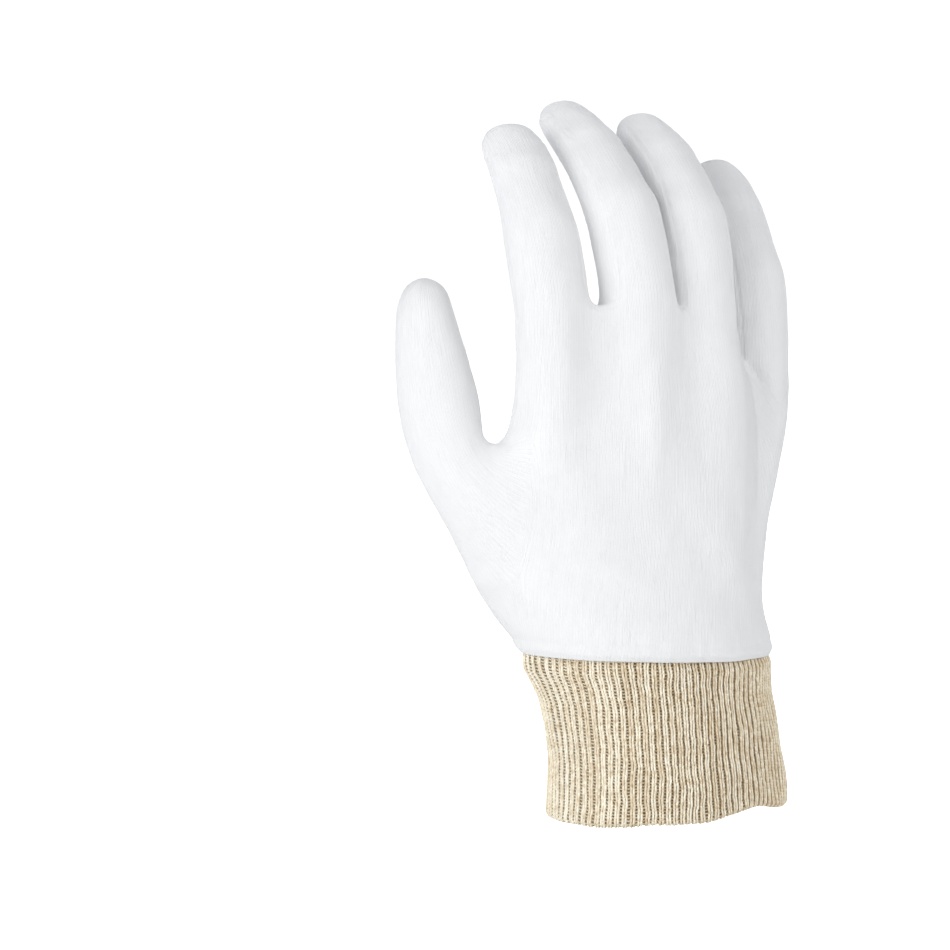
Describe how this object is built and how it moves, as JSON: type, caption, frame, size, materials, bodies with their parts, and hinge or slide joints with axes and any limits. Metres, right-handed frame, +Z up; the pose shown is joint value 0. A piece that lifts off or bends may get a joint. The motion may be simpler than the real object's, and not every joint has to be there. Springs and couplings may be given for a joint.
{
  "type": "cotton work glove",
  "caption": "Right-hand knitted white cotton work glove on a beige ribbed wrist cuff, kept in its worn shape with slightly curled fingers and the thumb held forward.",
  "frame": {"origin": "middle of the wrist opening at the lower edge of the cuff", "axes": "+Z up from the wrist opening to the fingertips, -Y toward the back of the hand, +Y toward the palm, -X toward the thumb and +X toward the little finger"},
  "size_m": [0.1394, 0.0938, 0.2393],
  "materials": {
    "white_knit": "bleached cotton interlock knit, soft and matte, with fine lengthwise wales and a light fuzz",
    "beige_rib_knit": "unbleached cotton rib knit, matte, with narrow lengthwise ribs and brown flecks in the grooves"
  },
  "bodies": {
    "root": {"back_panel": "white_knit", "palm_panel": "white_knit", "side_strip_1": "white_knit", "side_strip_2": "white_knit", "side_strip_3": "white_knit", "thumb_piece": "white_knit", "knit_cuff": "beige_rib_knit"}
  },
  "joints": []
}
